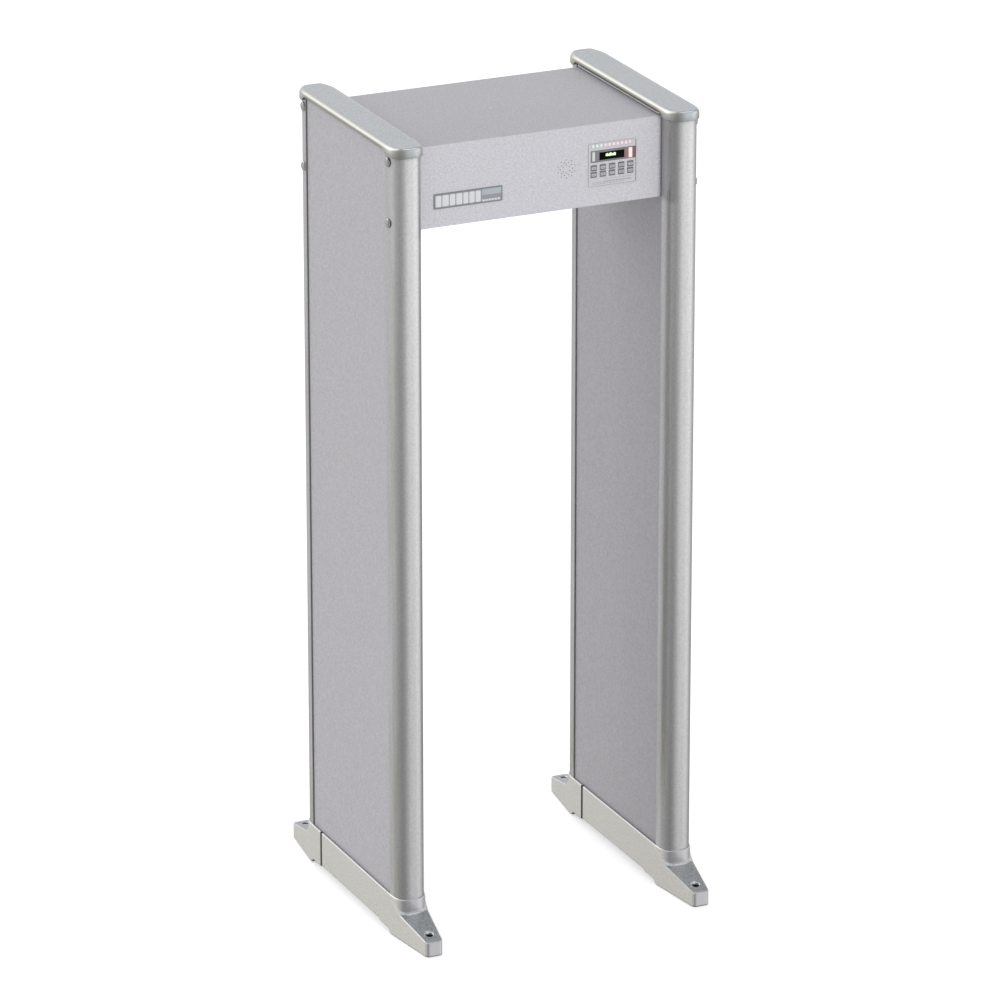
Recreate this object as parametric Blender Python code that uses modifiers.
# Walk-through security gate, modelled as separate solids.
# Units are metres, +Z up, +Y towards the rear of the gate, +X to the right
# as one faces the control panel. The origin is on the floor, midway between
# the two side panels.
import math
import bpy
import bmesh
from mathutils import Matrix, Vector

GAP = 0.0003               # clearance between neighbouring solids
REACH = 0.010              # usual overrun of a cutter past what it cuts

# ---------------------------------------------------- side panel dimensions
PASSAGE_W = 0.716          # clear width between the side panels
PANEL_T = 0.090            # thickness of a side panel over its edge profiles
HALF_T = PANEL_T / 2
PANEL_X = PASSAGE_W / 2 + HALF_T          # centre plane of each panel
NOSE_Y = 0.324             # reach of the edge profiles, front and rear
NOSE_A = 0.066             # depth of the rounded nose
NOSE_N = 2.9               # squareness of the rounded nose
LIP_Y = 0.266              # where each profile's flat lip ends on the panel
WALL = 0.0035              # wall of the edge profiles
PANEL_Z = (0.0205, 2.2400)                # panel, from inside its foot to inside its cap
PART_ORIGIN_Z = 1.0        # origin height of the profiles and coils

# distances named _X or SKIN are measured from the panel's centre plane
SKIN = (0.0380, 0.0408)    # inner and outer face of a skin
SKIN_Y = 0.2705
CORE_X = 0.0376
CORE_Y = 0.2620
CORE_Z = (PANEL_Z[0] + 0.001, 2.0030)

COIL_Y = 0.2300            # half width of the coil loop
COIL_Z = (0.090, 1.940)
COIL_W = 0.014             # width of the winding
COIL_D = 0.006             # depth of the winding
COIL_R = 0.05              # outer corner radius

BRACKET_X = 0.0372
BRACKET_Y = 0.2880
BRACKET_Z = (2.0060, 2.2360)
BRACKET_WALL = 0.0030
BRACKET_BORE_Y = 0.262
STUD_R = 0.0050
STUD_HOLE_R = STUD_R + 0.0005
STUD_Z = 2.110
STUD_YS = (-0.150, 0.150)
STUD_INSET = 0.010         # reach of a stud past the end of the header

BOLT_Y = 0.2800            # header bolts, on the profile lips
BOLT_Z = (2.0375, 2.2045)
BOLT_R = 0.0132
BOLT_H = 0.0078
BOLT_RIM = 0.0016          # straight edge of the head below its dome
BOLT_SEAT = 0.0440         # seat of the head, from the panel's centre plane
SHANK_R = 0.0040
SHANK_L = 0.0200

CAP_HALF = 0.0515          # half width of a top cap
CAP_NOSE = 0.3305
CAP_NOSE_A = NOSE_A + 0.0065
CAP_Z1 = 2.2493            # overall height of the gate
CAP_SIDE_Z = 2.2354        # lower edge along the sides
CAP_NOSE_Z = 2.2217        # lower edge of the deeper skirts on the noses
CAP_POCKET_Z = 2.2435
CAP_ROUND = 0.0080
CAP_FIT = 0.0006           # clearance around the panel
CAP_RELIEF_Y = (0.262, 0.280, 0.282)      # slope top, slope foot and end of the side relief

FOOT_HALF = 0.0485
FOOT_COLLAR = 0.3275       # reach of the collar
FOOT_COLLAR_A = NOSE_A + 0.003
FOOT_TOP = 0.1165
FOOT_TIP_Y = 0.4634
FOOT_TIP_HALF = 0.0245
FOOT_TIP_R = 0.007
FOOT_TIP_Z = 0.0430
FOOT_RAMP_Z = 0.0735       # ramp height where it meets the collar
FOOT_TAPER_Y = 0.2800
FOOT_CLEAR_Y = 0.285       # start of the space cleared above a ramp
# underside from pad to raised middle: y, z
FOOT_UNDER = ((0.2780, 0.0), (0.2700, 0.0018), (0.2605, 0.0116), (0.2020, 0.0124), (0.1965, 0.0175))
FOOT_POCKET_Z = 0.0200
FOOT_FIT = 0.0005          # clearance around the panel
FOOT_HOLE_Y = 0.4270
FOOT_HOLE_R = 0.0080
FOOT_HOLE_RIM = 0.0110     # radius of the wider mouth
FOOT_RIM_Z = 0.0462        # floor of the wider mouth
FOOT_HOLE_TOP = 0.08       # upper end of both hole cutters
SEAM_Y = 0.2040
SEAM_W = 0.0100
STRIP_SIDE = 0.0008        # inset of the seam strip from the foot's sides
STRIP_TOP = 0.0010         # and from its top
STRIP_FIT = 0.0006         # clearance around the panel

# --------------------------------------------------------- header dimensions
HEAD_X = 0.3618            # half length of the header
HEAD_Y = 0.2565            # half depth of the header
HEAD_Z = (1.9980, 2.2240)
FRONT = -HEAD_Y
SHELL_Y = (FRONT, HEAD_Y - 0.002)         # outer faces of the folded shell
SHEET = 0.0020
FLOOR_Z = HEAD_Z[0] + SHEET
HEAD_BEND = 0.0030         # outer bend radius at the front edges
HOLLOW_BEND = HEAD_BEND - 0.0015
OPENING_X = 0.345          # half width of the rear opening
OPENING_Z = (2.0120, 2.2100)
FLANGE_T = 0.0028
FLANGE_H = 0.0090
FLANGE_Y = HEAD_Y - 0.004
PORT = (-0.024, -0.004)    # x, y of the cable port
PORT_R = 0.0045
INLET = (0.255, 0.205)     # x, y of the mains inlet
INLET_HALF = (0.0138, 0.0108)

# rectangles on the header's front: (x0, x1), (z0, z1)
BEZEL = ((0.1450, 0.2845), (2.0510, 2.1700))
CUTOUT = ((0.1490, 0.2805), (2.0550, 2.1670))
DISPLAY = ((0.1767, 0.2498), (2.1228, 2.1440))
READY_LAMP = ((0.1552, 0.1637), (2.1217, 2.1475))
ALARM_LAMP = ((0.2630, 0.2735), (2.1200, 2.1475))
LED = ((0.1530, 0.2725), (2.1585, 2.1665))
NAMEPLATE = ((-0.3065, -0.1070), (2.0485, 2.0905))

WINDOW_FIT = 0.0004        # clearance around parts set in the bezel
LENS_COUNT, LENS_X0, LENS_PITCH, LENS_HALF = 10, 0.1580, 0.01215, 0.0024
KEY_COLS, KEY_X0, KEY_PITCH = 5, 0.1600, 0.0270
KEY_Z = (2.1027, 2.0842)
KEY_W, KEY_H = 0.0182, 0.0155
KEY_LIP = 0.0008           # overhang of the key's wider base

SPEAKER = (0.0807, 2.1105)                # x, z
# perforation rings: radius, holes, first angle in degrees
SPEAKER_RINGS = ((0.0112, 6, 90), (0.0180, 10, 108), (0.0255, 10, 90))
SPEAKER_HOLE_R = 0.0013

DOOR_X = 0.3500
DOOR_Y = (0.2550, 0.2570)
DOOR_Z = (2.0060, 2.2215)
HINGE_Y, HINGE_Z = 0.2590, 2.0010
HINGE_XS = (-0.25, 0.25)
HINGE_HALF = 0.05          # half length of a whole hinge
DOOR_KNUCKLE_HALF = 0.02   # half length of its middle knuckle
KNUCKLE_R = 0.0032
PIN_R = 0.0016
PIN_X = 0.306
LOCK_Z = 2.1900
LOCK_HOLE_R = 0.0086

TRAY_Z = (FLOOR_Z + GAP, FLOOR_Z + 0.0023)
BOARD_X, BOARD_Y, BOARD_Z = (-0.160, 0.120), (-0.120, 0.100), (2.0160, 2.0176)
POST_INSET = 0.008         # tray posts, in from the board's edges
# blocks on the main board: centre x, centre y, size x, size y, height
BOARD_PARTS = (
    (-0.10, -0.06, 0.036, 0.036, 0.004),
    (0.0, -0.05, 0.024, 0.024, 0.003),
    (0.07, 0.04, 0.030, 0.050, 0.018),
    (-0.05, 0.06, 0.060, 0.012, 0.010),
    (0.08, -0.08, 0.040, 0.010, 0.009),
)
CABLE_R = 0.0025
# x, y, z
CABLE_PATH = (
    (0.100, -0.085, 2.0300), (0.112, -0.115, 2.0370), (0.130, -0.155, 2.0430),
    (0.155, -0.195, 2.0520), (0.185, -0.225, 2.0650), (0.205, -0.238, 2.0790),
    (0.214, -0.2435, 2.0950),
)

# Turned profiles from the top of the axis to the bottom: radius, height
LOCK_PROFILE = (
    (0, 0.0092), (0.0095, 0.0092), (0.0105, 0.0082), (0.0105, 0.0073), (0.0080, 0.0073),
    (0.0080, 0.0006), (0, 0.0006),
)
SPEAKER_PROFILE = (
    (0, 0.0215), (0.013, 0.0215), (0.013, 0.0120), (0.020, 0.0085), (0.029, 0.0028),
    (0.031, 0.0028), (0.031, 0.0004), (0, 0.0004),
)
PLUG_PROFILE = (
    (0, 0.0022), (0.0030, 0.0019), (0.0055, 0.0008), (0.0060, 0.0002), (0.0060, 0.00015),
    (0.0041, 0.00015), (0.0041, -0.0045), (0, -0.0045),
)

# Finishes: base colour, roughness, metallic
FINISHES = {
    "skin": ((0.46, 0.46, 0.47), 0.55, 0.0),
    "core": ((0.80, 0.78, 0.70), 0.9, 0.0),
    "coil": ((0.55, 0.25, 0.10), 0.4, 0.8),
    "profile": ((0.62, 0.62, 0.62), 0.32, 0.9),
    "bracket": ((0.45, 0.46, 0.47), 0.4, 0.8),
    "bolt": ((0.55, 0.55, 0.54), 0.3, 0.9),
    "cap": ((0.52, 0.54, 0.55), 0.35, 0.0),
    "casting": ((0.50, 0.51, 0.49), 0.42, 0.35),
    "seam": ((0.03, 0.03, 0.03), 0.7, 0.0),
    "header": ((0.56, 0.55, 0.58), 0.5, 0.0),
    "pin": ((0.55, 0.55, 0.56), 0.25, 1.0),
    "lock": ((0.60, 0.60, 0.60), 0.2, 1.0),
    "cam": ((0.55, 0.55, 0.55), 0.35, 1.0),
    "bezel": ((0.60, 0.60, 0.61), 0.45, 0.0),
    "key": ((0.50, 0.50, 0.51), 0.5, 0.0),
    "window": ((0.02, 0.02, 0.02), 0.1, 0.0),
    "module": ((0.05, 0.12, 0.06), 0.5, 0.0),
    "ready": ((0.75, 0.80, 0.76), 0.3, 0.0),
    "alarm": ((0.90, 0.55, 0.52), 0.3, 0.0),
    "led": ((0.80, 0.78, 0.78), 0.35, 0.0),
    "nameplate": ((0.45, 0.46, 0.50), 0.4, 0.0),
    "board": ((0.02, 0.16, 0.07), 0.5, 0.0),
    "tray": ((0.60, 0.60, 0.60), 0.4, 0.9),
    "supply": ((0.55, 0.56, 0.57), 0.35, 0.8),
    "speaker": ((0.06, 0.06, 0.06), 0.6, 0.2),
    "plug": ((0.80, 0.80, 0.80), 0.4, 0.0),
    "cable": ((0.05, 0.05, 0.05), 0.6, 0.0),
    "inlet": ((0.03, 0.03, 0.03), 0.5, 0.0),
}

# ---------------------------------------------------------------------- scene
for old in list(bpy.data.objects):
    bpy.data.objects.remove(old, do_unlink=True)

parts = bpy.data.collections.new("security_gate")
cutters = bpy.data.collections.new("cutters")
bpy.context.scene.collection.children.link(parts)
bpy.context.scene.collection.children.link(cutters)


# ---------------------------------------------------------------------- tools
def span(centre, half):
    return centre - half, centre + half


def grow(ends, margin):
    return ends[0] - margin, ends[1] + margin


def material(name, finish):
    rgb, roughness, metallic = FINISHES[finish]
    mat = bpy.data.materials.new(name)
    mat.use_nodes = True
    shader = mat.node_tree.nodes["Principled BSDF"]
    shader.inputs["Base Color"].default_value = (*rgb, 1.0)
    shader.inputs["Roughness"].default_value = roughness
    shader.inputs["Metallic"].default_value = metallic
    mat.diffuse_color = (*rgb, 1.0)
    return mat


def add(name, data, finish=None):
    """Add a part; with a finish it gets a material of its own name."""
    ob = bpy.data.objects.new(name, data)
    parts.objects.link(ob)
    if finish:
        data.materials.append(material(name, finish))
    return ob


def to_mesh(name, bm):
    mesh = bpy.data.meshes.new(name)
    bm.to_mesh(mesh)
    bm.free()
    return mesh


def set_origin(ob, origin):
    """Move an unrotated object's origin without moving its shape."""
    origin = Vector(origin)
    ob.data.transform(Matrix.Translation(ob.location - origin))
    ob.location = origin


def smooth(ob):
    ob.data.shade_smooth()
    ob.data.set_sharp_from_angle(angle=math.radians(35))


def box(name, xs, ys, zs, finish=None, bevel=0.0, segments=1):
    sides = (xs, ys, zs)
    bm = bmesh.new()
    size = [hi - lo for lo, hi in sides]
    bmesh.ops.create_cube(bm, size=1.0, matrix=Matrix.Diagonal((*size, 1)))
    ob = add(name, to_mesh(name, bm), finish)
    ob.location = [(lo + hi) / 2 for lo, hi in sides]
    if bevel:
        mod = ob.modifiers.new("Bevel", 'BEVEL')
        mod.width = bevel
        mod.segments = segments
        mod.limit_method = 'ANGLE'
    return ob


def add_polyline(curve, points):
    """Add 3D points to a curve as one polyline."""
    spline = curve.splines.new('POLY')
    spline.points.add(len(points) - 1)
    for point, co in zip(spline.points, points):
        point.co = (*co, 1)
    return spline


# turns a plate's outline plane so that its thickness lies along the axis
PLATE_TURN = {
    'X': Matrix(((0, 0, 1), (1, 0, 0), (0, 1, 0))).to_4x4(),
    'Y': Matrix(((1, 0, 0), (0, 0, -1), (0, 1, 0))).to_4x4(),
    'Z': Matrix.Identity(4),
}


def plate(name, loops, axis, ends, finish=None):
    """A flat outline (with optional inner loops) extruded along an axis.
    Loops are (x, y) for Z, (y, z) for X and (x, z) for Y."""
    curve = bpy.data.curves.new(name, 'CURVE')
    curve.dimensions = '2D'
    curve.fill_mode = 'BOTH'
    curve.extrude = (ends[1] - ends[0]) / 2
    for loop in loops:
        add_polyline(curve, [(a, b, 0) for a, b in loop]).use_cyclic_u = True
    outline = add(name + "_outline", curve)
    bpy.context.view_layer.update()
    depsgraph = bpy.context.evaluated_depsgraph_get()
    mesh = bpy.data.meshes.new_from_object(outline.evaluated_get(depsgraph))
    bpy.data.objects.remove(outline, do_unlink=True)
    bm = bmesh.new()
    bm.from_mesh(mesh)
    bmesh.ops.remove_doubles(bm, verts=bm.verts, dist=0.00001)
    bmesh.ops.recalc_face_normals(bm, faces=bm.faces)
    bm.to_mesh(mesh)
    bm.free()
    mesh.name = name
    mesh.materials.clear()
    centre = Vector((0, 0, 0))
    centre['XYZ'.index(axis)] = (ends[0] + ends[1]) / 2
    mesh.transform(Matrix.Translation(centre) @ PLATE_TURN[axis])
    return add(name, mesh, finish)


CYLINDER_TURN = {
    'X': Matrix.Rotation(math.pi / 2, 4, 'Y'),
    'Y': Matrix.Rotation(math.pi / 2, 4, 'X'),
    'Z': Matrix.Identity(4),
}


def cylinder(name, axis, centre, radius, ends, segments, finish=None):
    """A cylinder along an axis; centre holds the other two coordinates."""
    bm = bmesh.new()
    bmesh.ops.create_cone(bm, cap_ends=True, segments=segments, radius1=radius, radius2=radius,
                          depth=ends[1] - ends[0])
    mesh = to_mesh(name, bm)
    mesh.transform(CYLINDER_TURN[axis])
    ob = add(name, mesh, finish)
    place = list(centre)
    place.insert('XYZ'.index(axis), (ends[0] + ends[1]) / 2)
    ob.location = place
    return ob


def turned(name, profile, finish, steps):
    """A solid of revolution about Z; the profile runs from the top of the
    axis down the outer side to the bottom of the axis."""
    bm = bmesh.new()
    verts = [bm.verts.new((radius, 0, z)) for radius, z in profile]
    for pair in zip(verts, verts[1:]):
        bm.edges.new(pair)
    ob = add(name, to_mesh(name, bm), finish)
    mod = ob.modifiers.new("Screw", 'SCREW')
    mod.axis = 'Z'
    mod.steps = steps
    mod.render_steps = steps
    mod.use_merge_vertices = True
    mod.merge_threshold = 0.0001
    mod.use_smooth_shade = True
    return ob


def boolean(ob, tool, operation='DIFFERENCE'):
    """Apply a tool to a part and file the tool among the cutters."""
    parts.objects.unlink(tool)
    cutters.objects.link(tool)
    tool.hide_render = True
    tool.display_type = 'WIRE'
    mod = ob.modifiers.new(operation.title(), 'BOOLEAN')
    mod.operation = operation
    mod.solver = 'EXACT'
    mod.object = tool


def fuse(ob, tool):
    boolean(ob, tool, 'UNION')


def drill(ob, axis, centre, radius, ends, tag, segments=12):
    boolean(ob, cylinder(f"{ob.name}_{tag}", axis, centre, radius, ends, segments))


def pocket(ob, xs, ys, zs, tag):
    boolean(ob, box(f"{ob.name}_{tag}", xs, ys, zs))


# ------------------------------------------------------------------- outlines
def nose_curve(half, nose, depth, count, skip=0.0):
    """Points over one rounded nose (towards +Y), from +half to -half,
    starting a distance skip beyond the root of the nose."""
    start = math.asin((skip / depth) ** (NOSE_N / 2))
    points = []
    for i in range(count + 1):
        angle = start + (math.pi - 2 * start) * i / count
        c, s = math.cos(angle), math.sin(angle)
        x = half * math.copysign(abs(c) ** (2 / NOSE_N), c)
        if i == count / 2:
            x = 0.0        # the apex lies exactly on the centre line
        points.append((x, nose - depth + depth * abs(s) ** (2 / NOSE_N)))
    return points


def stadium(centre_x, half, nose, depth):
    """Closed outline with a rounded nose at the front and rear."""
    rear = nose_curve(half, nose, depth, 16)
    return [(centre_x + x, y) for x, y in rear] + [(centre_x - x, -y) for x, y in rear]


def panel_outline(centre_x, fit):
    """Outline of a side panel with a clearance all round."""
    return stadium(centre_x, HALF_T + fit, NOSE_Y + fit, NOSE_A + fit)


def offset_open(points, distance):
    """Offset an open polyline to its left."""
    out = []
    for i, (x, y) in enumerate(points):
        before = points[max(i - 1, 0)]
        after = points[min(i + 1, len(points) - 1)]
        dx, dy = after[0] - before[0], after[1] - before[1]
        length = math.hypot(dx, dy)
        out.append((x - dy / length * distance, y + dx / length * distance))
    return out


def channel_outline():
    """C-shaped section of an edge profile, nose towards +Y."""
    outer = nose_curve(HALF_T, NOSE_Y, NOSE_A, 20, LIP_Y - (NOSE_Y - NOSE_A))
    outer = [(HALF_T, LIP_Y)] + outer[1:-1] + [(-HALF_T, LIP_Y)]
    inner = offset_open(outer, WALL)[1:-1]
    inner = [(HALF_T - WALL, LIP_Y)] + inner + [(-HALF_T + WALL, LIP_Y)]
    return outer + inner[::-1]


def rounded_rect(xs, ys, radii, segments=4):
    """Rectangle with a radius for each corner: (x1,y1), (x0,y1), (x0,y0), (x1,y0)."""
    (x0, x1), (y0, y1) = xs, ys
    corners = ((x1, y1, 1, 1), (x0, y1, -1, 1), (x0, y0, -1, -1), (x1, y0, 1, -1))
    points = []
    for quarter, ((x, y, sign_x, sign_y), radius) in enumerate(zip(corners, radii)):
        if radius <= 0:
            points.append((x, y))
            continue
        for i in range(segments + 1):
            angle = math.radians(90 * quarter + 90 * i / segments)
            points.append((x - sign_x * radius + radius * math.cos(angle),
                           y - sign_y * radius + radius * math.sin(angle)))
    return points


# ---------------------------------------------------------------- side panels
class Side:
    """One side of the gate; sign is -1 for the left and +1 for the right."""

    def __init__(self, name, sign):
        self.name = name
        self.sign = sign
        self.x = sign * PANEL_X

    def label(self, part):
        return f"{self.name}_{part}"

    def across(self, a, b):
        """World x range between two distances outward from the centre plane."""
        return tuple(sorted((self.x + self.sign * a, self.x + self.sign * b)))


def build_skins(side):
    """Laminate sheets held between the lips of the two profiles."""
    box(side.label("outer_skin"), side.across(*SKIN), span(0, SKIN_Y), PANEL_Z, "skin")
    xs = side.across(-SKIN[0], -SKIN[1])
    inner = box(side.label("inner_skin"), xs, span(0, SKIN_Y), PANEL_Z, "skin")
    for k, y in enumerate(STUD_YS):
        drill(inner, 'X', (y, STUD_Z), STUD_HOLE_R, grow(xs, REACH), f"stud{k}")


def coil_loops(margin):
    """Outer and inner racetrack of the coil, widened by a margin."""
    inset = COIL_W + margin
    return [
        rounded_rect(span(0, COIL_Y + margin), grow(COIL_Z, margin), (COIL_R,) * 4, 5),
        rounded_rect(span(0, COIL_Y - inset), grow(COIL_Z, -inset), (COIL_R - COIL_W,) * 4, 5),
    ]


def build_core_and_coil(side):
    """Foam core with the coil in a groove on its passage side."""
    core = box(side.label("core"), span(side.x, CORE_X), span(0, CORE_Y), CORE_Z, "core")
    groove_x = side.across(-CORE_X + COIL_D + 0.001, -CORE_X - 0.004)
    boolean(core, plate(side.label("core_groove"), coil_loops(0.0005), 'X', groove_x))
    coil_x = side.across(-CORE_X + COIL_D + 0.0005, -CORE_X + 0.0005)
    coil = plate(side.label("coil_winding"), coil_loops(0.0), 'X', coil_x, "coil")
    set_origin(coil, (side.x, 0, PART_ORIGIN_Z))


def build_profile(side, part, facing):
    """C-shaped edge extrusion, nose outwards; facing is -1 front, +1 rear."""
    section = [(side.x + x * facing, y * facing) for x, y in channel_outline()]
    profile = plate(side.label(part), [section], 'Z', PANEL_Z, "profile")
    outer_end = 0.060
    for k, z in enumerate(BOLT_Z):
        place = (facing * BOLT_Y, z)
        drill(profile, 'X', place, SHANK_R + 0.0005, side.across(0.030, outer_end), f"bore{k}")
        drill(profile, 'X', place, BOLT_R + 0.0004, side.across(BOLT_SEAT - GAP, outer_end),
              f"seat{k}", 20)
    smooth(profile)
    set_origin(profile, (side.x, facing * (NOSE_Y - NOSE_A), PART_ORIGIN_Z))


def build_bracket(side):
    """Bracket that carries the header, bolted between the profiles."""
    bracket = box(side.label("header_bracket"), span(side.x, BRACKET_X), span(0, BRACKET_Y),
                  BRACKET_Z, "bracket")
    pocket(bracket, span(side.x, BRACKET_X - BRACKET_WALL), span(0, BRACKET_BORE_Y),
           grow(BRACKET_Z, REACH), "bore")
    stud_x = side.across(-BRACKET_X + 0.001, HEAD_X - STUD_INSET - PANEL_X)
    for k, y in enumerate(STUD_YS):
        fuse(bracket, cylinder(f"{bracket.name}_stud{k}", 'X', (y, STUD_Z), STUD_R, stud_x, 12))
    places = [(y, z) for y in (-BOLT_Y, BOLT_Y) for z in BOLT_Z]
    for k, place in enumerate(places):
        drill(bracket, 'X', place, SHANK_R + 0.0004, side.across(0.020, 0.05), f"thread{k}")


def build_bolts(side):
    """Header bolts with wide domed heads."""
    dome = []
    for degrees in range(0, 91, 18):
        angle = math.radians(degrees)
        dome.append((BOLT_R * math.sin(angle), BOLT_RIM + (BOLT_H - BOLT_RIM) * math.cos(angle)))
    profile = dome + [(BOLT_R, 0.0), (SHANK_R, 0.0), (SHANK_R, -SHANK_L), (0.0, -SHANK_L)]
    for y, end in ((-BOLT_Y, "front"), (BOLT_Y, "rear")):
        for z, level in zip(BOLT_Z, ("lower", "upper")):
            bolt = turned(side.label(f"bolt_{end}_{level}"), profile, "bolt", 16)
            bolt.rotation_euler = (0, side.sign * math.pi / 2, 0)
            bolt.location = (side.x + side.sign * BOLT_SEAT, y, z)


def round_top_rim(mesh):
    bm = bmesh.new()
    bm.from_mesh(mesh)
    rim = [e for e in bm.edges
           if all(abs(v.co.z - CAP_Z1) < 1e-5 for v in e.verts)
           and len(e.link_faces) == 2
           and any(abs(f.normal.z) < 0.5 for f in e.link_faces)]
    bmesh.ops.bevel(bm, geom=rim, offset=CAP_ROUND, offset_type='OFFSET', segments=3,
                    profile=0.5, affect='EDGES', clamp_overlap=True)
    bm.to_mesh(mesh)
    bm.free()


def build_cap(side):
    """Moulded lid with deeper skirts around the two noses."""
    cap = plate(side.label("top_cap"), [stadium(side.x, CAP_HALF, CAP_NOSE, CAP_NOSE_A)],
                'Z', (CAP_NOSE_Z, CAP_Z1), "cap")
    round_top_rim(cap.data)
    slope_top, slope_foot, end = CAP_RELIEF_Y
    low_z = CAP_NOSE_Z - 0.002
    relief = [(-end, low_z), (end, low_z), (slope_foot, CAP_NOSE_Z), (slope_top, CAP_SIDE_Z),
              (-slope_top, CAP_SIDE_Z), (-slope_foot, CAP_NOSE_Z)]
    boolean(cap, plate(cap.name + "_relief", [relief], 'X', span(side.x, 0.06)))
    boolean(cap, plate(cap.name + "_socket", [panel_outline(side.x, CAP_FIT)],
                       'Z', (CAP_NOSE_Z - REACH, CAP_POCKET_Z)))
    smooth(cap)
    set_origin(cap, (side.x, 0, CAP_Z1))


def foot_plan(centre_x):
    """Foot seen from above, tapering to a round-cornered tip at each end."""
    radius = FOOT_TIP_R
    taper = (FOOT_HALF - FOOT_TIP_HALF) / (FOOT_TIP_Y - FOOT_TAPER_Y)
    quarter = [(FOOT_HALF, FOOT_TAPER_Y), (FOOT_TIP_HALF + taper * radius, FOOT_TIP_Y - radius)]
    for i in range(1, 5):
        angle = math.radians(90 * i / 4)
        quarter.append((FOOT_TIP_HALF - radius + radius * math.cos(angle),
                        FOOT_TIP_Y - radius + radius * math.sin(angle)))
    half = quarter + [(-x, y) for x, y in quarter[::-1]]
    plan = half + [(-x, -y) for x, y in half]
    return [(centre_x + x, y) for x, y in plan]


def ramp_z(y):
    """Height of the foot's sloping ramp at a distance from the middle."""
    slope = (FOOT_RAMP_Z - FOOT_TIP_Z) / (FOOT_TIP_Y - FOOT_COLLAR)
    return FOOT_RAMP_Z - (y - FOOT_COLLAR) * slope


def foot_side_view():
    """Flat pads at both ends, a raised middle and sloping ramps, as (y, z)."""
    low_z = -0.001
    high_z = FOOT_TOP + 0.002
    pad_y = FOOT_UNDER[0][0] + 0.0002
    top_y = FOOT_COLLAR + 0.003
    end_y = FOOT_TIP_Y + REACH
    return ([(-end_y, low_z), (-pad_y, low_z)]
            + [(-y, z) for y, z in FOOT_UNDER]
            + list(FOOT_UNDER[::-1])
            + [(pad_y, low_z), (end_y, low_z), (end_y, ramp_z(end_y)), (top_y, ramp_z(top_y)),
               (top_y, high_z), (-top_y, high_z), (-top_y, ramp_z(top_y)),
               (-end_y, ramp_z(end_y))])


def build_foot_casting(side, part, keep_y):
    """The whole foot, trimmed to the y range of one casting."""
    x = side.x
    foot = plate(side.label(part), [foot_plan(x)], 'Z', (0.0, FOOT_TOP), "casting")
    name = foot.name
    boolean(foot, plate(name + "_side", [foot_side_view()], 'X', span(x, 0.06)), 'INTERSECT')
    y0, y1 = FOOT_CLEAR_Y, FOOT_TIP_Y + 0.02
    wedge_top = FOOT_TOP + 0.01
    hole_bottom = -0.01
    for facing, tag in ((-1, "f"), (1, "r")):
        # everything above the ramp and outside the collar's outline is cleared
        section = [(facing * y0, ramp_z(y0)), (facing * y1, ramp_z(y1)),
                   (facing * y1, wedge_top), (facing * y0, wedge_top)]
        wedge = plate(f"{name}_over_{tag}", [section], 'X', span(x, 0.055))
        boolean(wedge, plate(f"{name}_collar_{tag}",
                             [stadium(x, FOOT_HALF, FOOT_COLLAR, FOOT_COLLAR_A)],
                             'Z', (0.02, FOOT_TOP + 0.02)))
        boolean(foot, wedge)
        # the anchor hole is bored straight through, with a wider mouth
        place = (x, facing * FOOT_HOLE_Y)
        drill(foot, 'Z', place, FOOT_HOLE_R, (hole_bottom, FOOT_HOLE_TOP), f"bore_{tag}", 16)
        drill(foot, 'Z', place, FOOT_HOLE_RIM, (FOOT_RIM_Z, FOOT_HOLE_TOP), f"mouth_{tag}", 16)
    boolean(foot, plate(name + "_socket", [panel_outline(x, FOOT_FIT)],
                        'Z', (FOOT_POCKET_Z, FOOT_TOP + 0.02)))
    boolean(foot, box(name + "_keep", span(x, 0.08), keep_y, (-0.02, 0.2)), 'INTERSECT')


def build_foot(side):
    """Two castings that meet at a dark seam strip near the rear."""
    x = side.x
    seam = span(SEAM_Y, SEAM_W / 2)
    beyond = 0.6           # past either end of the foot
    build_foot_casting(side, "foot_front", (-beyond, seam[0]))
    build_foot_casting(side, "foot_rear", (seam[1], beyond))
    # U-shaped strip around the panel
    bottom = FOOT_UNDER[3][1] + 0.0030
    outer = FOOT_HALF - STRIP_SIDE
    inner = HALF_T + STRIP_FIT
    floor = FOOT_POCKET_Z - 0.0002
    top = FOOT_TOP - STRIP_TOP
    section = [(x - outer, bottom), (x + outer, bottom), (x + outer, top), (x + inner, top),
               (x + inner, floor), (x - inner, floor), (x - inner, top), (x - outer, top)]
    strip = plate(side.label("foot_seam_strip"), [section], 'Y', grow(seam, -GAP), "seam")
    set_origin(strip, (x, SEAM_Y, 0))


def build_side(name, sign):
    side = Side(name, sign)
    build_skins(side)
    build_core_and_coil(side)
    build_profile(side, "front_profile", -1)
    build_profile(side, "rear_profile", 1)
    build_bracket(side)
    build_bolts(side)
    build_cap(side)
    build_foot(side)


# --------------------------------------------------------------- header shell
def around_inlet(margin):
    """x and y ranges of the mains inlet, widened by a margin."""
    return [span(centre, half + margin) for centre, half in zip(INLET, INLET_HALF)]


def add_knuckles(ob, x_ranges, tab_y, tab_z):
    """Fuse tabbed hinge knuckles to a part and bore them for the pin."""
    axis = (HINGE_Y, HINGE_Z)
    for k, xs in enumerate(x_ranges):
        fuse(ob, box(f"{ob.name}_tab{k}", grow(xs, -0.0002), tab_y, tab_z))
        fuse(ob, cylinder(f"{ob.name}_knuckle{k}", 'X', axis, KNUCKLE_R, xs, 14))
    drill(ob, 'X', axis, PIN_R + 0.0004, span(0, 0.32), "pin")


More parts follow.
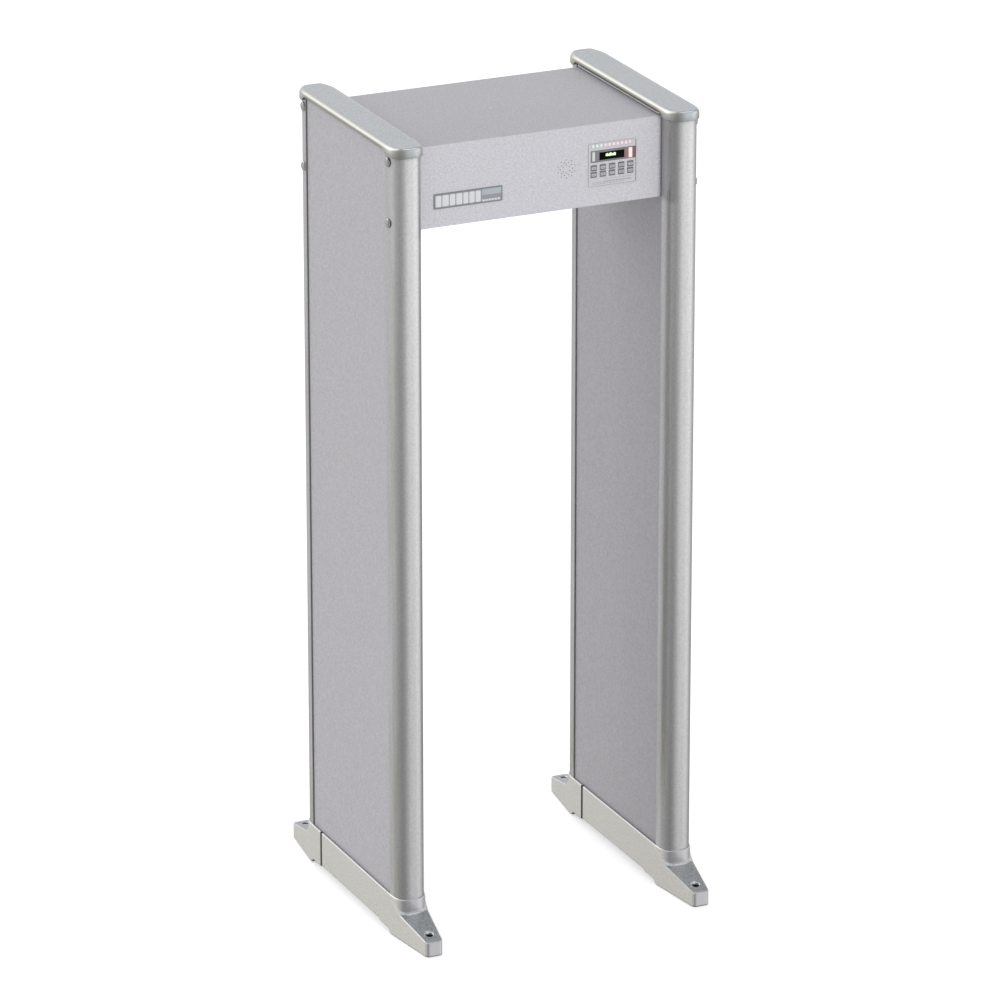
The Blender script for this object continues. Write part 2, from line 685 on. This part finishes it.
def add_shell_ends(shell):
    """Upturned end flanges and the holes for the bracket studs."""
    for sign, tag in ((-1, "l"), (1, "r")):
        flange = rounded_rect(span(0, FLANGE_Y), (HEAD_Z[1] - 0.001, HEAD_Z[1] + FLANGE_H),
                              (0.002, 0.002, 0, 0), 3)
        xs = sorted((sign * HEAD_X, sign * (HEAD_X - FLANGE_T)))
        fuse(shell, plate(f"header_shell_flange_{tag}", [flange], 'X', xs))
        for k, y in enumerate(STUD_YS):
            drill(shell, 'X', (y, STUD_Z), STUD_HOLE_R, span(sign * HEAD_X, REACH),
                  f"stud{k}{tag}")


def perforate(shell):
    """Rings of small holes in front of the loudspeaker."""
    bm = bmesh.new()
    for ring_r, count, start in SPEAKER_RINGS:
        for i in range(count):
            angle = math.radians(start + 360 * i / count)
            place = Matrix.Translation((SPEAKER[0] + ring_r * math.cos(angle), FRONT,
                                        SPEAKER[1] + ring_r * math.sin(angle)))
            bmesh.ops.create_cone(bm, cap_ends=True, segments=6, radius1=SPEAKER_HOLE_R,
                                  radius2=SPEAKER_HOLE_R, depth=0.012,
                                  matrix=place @ Matrix.Rotation(math.pi / 2, 4, 'X'))
    name = "header_shell_perforations"
    boolean(shell, add(name, to_mesh(name, bm)))


def build_shell():
    outline = rounded_rect(SHELL_Y, HEAD_Z, (0, HEAD_BEND, HEAD_BEND, 0))
    shell = plate("header_shell", [outline], 'X', span(0, HEAD_X), "header")
    hollow = rounded_rect(grow(SHELL_Y, -SHEET), grow(HEAD_Z, -SHEET),
                          (0, HOLLOW_BEND, HOLLOW_BEND, 0))
    boolean(shell, plate("header_shell_hollow", [hollow], 'X', span(0, HEAD_X - SHEET)))
    # rear opening, framed by return flanges
    pocket(shell, span(0, OPENING_X), (HEAD_Y - 0.006, HEAD_Y + REACH), OPENING_Z,
           "rear_opening")
    add_shell_ends(shell)
    pocket(shell, CUTOUT[0], span(FRONT, REACH), CUTOUT[1], "cutout")
    # cable port in the top and mains inlet in the floor
    drill(shell, 'Z', PORT, PORT_R, (2.21, 2.24), "port")
    pocket(shell, *around_inlet(0.0004), (1.99, 2.005), "inlet")
    # outer knuckles of each hinge, under the rear opening
    knuckles = []
    for x in HINGE_XS:
        near, far = grow(span(x, DOOR_KNUCKLE_HALF), GAP)
        knuckles += [(x - HINGE_HALF, near), (far, x + HINGE_HALF)]
    add_knuckles(shell, knuckles, (0.2520, 0.2585), (1.9981, 1.9999))
    perforate(shell)


# ------------------------------------------------------------------ rear door
def build_door():
    door = box("rear_door", span(0, DOOR_X), DOOR_Y, DOOR_Z, "header")
    set_origin(door, (0, HINGE_Y, HINGE_Z))
    knuckles = [span(x, DOOR_KNUCKLE_HALF) for x in HINGE_XS]
    add_knuckles(door, knuckles, grow(DOOR_Y, -0.0001), (2.0015, 2.0080))
    drill(door, 'Y', (0.0, LOCK_Z), LOCK_HOLE_R, (0.24, 0.27), "lock", 20)
    cylinder("door_hinge_pin", 'X', (HINGE_Y, HINGE_Z), PIN_R, span(0, PIN_X), 12, "pin")


def build_lock():
    barrel = turned("lock_barrel", LOCK_PROFILE, "lock", 20)
    barrel.rotation_euler = (-math.pi / 2, 0, 0)
    barrel.location = (0, 0.2500, LOCK_Z)
    pocket(barrel, span(0, 0.0035), (0.2565, 0.2610), span(LOCK_Z, 0.0006), "keyway")
    cam = box("lock_cam", (-0.007, 0.029), (0.2485, 0.2503), span(LOCK_Z, 0.006), "cam")
    set_origin(cam, (0, cam.location.y, cam.location.z))


# -------------------------------------------------------------- control panel
def from_front(a, b):
    """y range between two distances rearwards of the header's front face."""
    return FRONT + a, FRONT + b


def window(bezel, rect, tag, fit=WINDOW_FIT):
    xs, zs = rect
    pocket(bezel, grow(xs, fit), from_front(-0.02, 0.01), grow(zs, fit), tag)


def build_key(bezel, row, col):
    xs = span(KEY_X0 + col * KEY_PITCH, KEY_W / 2)
    zs = span(KEY_Z[row], KEY_H / 2)
    window(bezel, (xs, zs), f"key{row}{col}")
    key = box(f"key_{row * KEY_COLS + col + 1}", xs, from_front(-0.0035, 0.0010), zs, "key",
              bevel=0.0009, segments=2)
    # a wider base keeps the key behind the bezel
    fuse(key, box(key.name + "_base", grow(xs, KEY_LIP), from_front(0.0002, 0.0015),
                  grow(zs, KEY_LIP)))


def build_display():
    xs, zs = DISPLAY
    box("display_window", xs, from_front(-0.0018, -0.0004), zs, "window")
    box("display_module", grow(xs, 0.002), from_front(0.0004, 0.0034), grow(zs, 0.003), "module")


def build_led_bar():
    """Strip with a row of raised lenses."""
    xs, zs = LED
    bar = box("led_bar", grow(xs, -GAP), from_front(-0.0018, 0.0010), grow(zs, -GAP), "led")
    for i in range(LENS_COUNT):
        fuse(bar, box(f"led_bar_lens{i}", span(LENS_X0 + i * LENS_PITCH, LENS_HALF),
                      from_front(-0.0026, -0.0004), grow(zs, -0.0010)))


def build_control_panel():
    bezel = plate("control_bezel", [rounded_rect(*BEZEL, (0.003,) * 4, 3)], 'Y',
                  from_front(-0.0020, -0.0002), "bezel")
    window(bezel, DISPLAY, "display")
    window(bezel, READY_LAMP, "lamp_l")
    window(bezel, ALARM_LAMP, "lamp_r")
    window(bezel, LED, "led", 0.0)
    for row in range(len(KEY_Z)):
        for col in range(KEY_COLS):
            build_key(bezel, row, col)
    build_display()
    for kind, (xs, zs) in (("ready", READY_LAMP), ("alarm", ALARM_LAMP)):
        box(kind + "_lamp", xs, from_front(-0.0028, 0.0004), zs, kind, bevel=0.0006)
    build_led_bar()
    plate("nameplate", [rounded_rect(*NAMEPLATE, (0.0015,) * 4, 2)], 'Y',
          from_front(-0.0014, -0.0002), "nameplate")


# ---------------------------------------------- inside and through the header
def build_boards():
    """Keypad board, and the main board on the posts of its tray."""
    box("keypad_board", grow(CUTOUT[0], 0.002), from_front(0.0040, 0.0056),
        grow(CUTOUT[1], 0.002), "board")
    tray = box("chassis_tray", (-0.320, 0.200), span(0, 0.220), TRAY_Z, "tray")
    places = [(x, y) for x in grow(BOARD_X, -POST_INSET) for y in grow(BOARD_Y, -POST_INSET)]
    for k, place in enumerate(places):
        fuse(tray, cylinder(f"chassis_tray_post{k}", 'Z', place, 0.003,
                            (2.0015, BOARD_Z[0] - GAP), 8))
    board = box("main_board", BOARD_X, BOARD_Y, BOARD_Z, "board")
    for k, (x, y, size_x, size_y, height) in enumerate(BOARD_PARTS):
        fuse(board, box(f"main_board_part{k}", span(x, size_x / 2), span(y, size_y / 2),
                        (2.0170, BOARD_Z[1] + height)))


def build_power_supply():
    box("power_supply", (-0.305, -0.195), (-0.080, 0.100), (TRAY_Z[1] + GAP, 2.046), "supply",
        bevel=0.001)


def build_speaker():
    speaker = turned("speaker", SPEAKER_PROFILE, "speaker", 24)
    speaker.rotation_euler = (-math.pi / 2, 0, 0)
    speaker.location = (SPEAKER[0], FRONT + SHEET, SPEAKER[1])


def build_port_plug():
    plug = turned("port_plug", PLUG_PROFILE, "plug", 16)
    plug.location = (*PORT, HEAD_Z[1])


def build_cable():
    curve = bpy.data.curves.new("control_cable", 'CURVE')
    curve.dimensions = '3D'
    curve.bevel_depth = CABLE_R
    curve.bevel_resolution = 2
    curve.use_fill_caps = True
    add_polyline(curve, CABLE_PATH)
    add("control_cable", curve, "cable")


def build_inlet():
    """Flanged mains socket, open downwards."""
    inlet = box("mains_inlet", *around_inlet(0.0), (1.9960, 2.0280), "inlet")
    fuse(inlet, box("mains_inlet_flange", *around_inlet(0.0042), (1.9950, 1.9977)))
    pocket(inlet, *around_inlet(-0.0028), (1.99, 2.0150), "socket")


build_side("left", -1)
build_side("right", 1)
build_shell()
build_door()
build_lock()
build_control_panel()
build_boards()
build_power_supply()
build_speaker()
build_port_plug()
build_cable()
build_inlet()
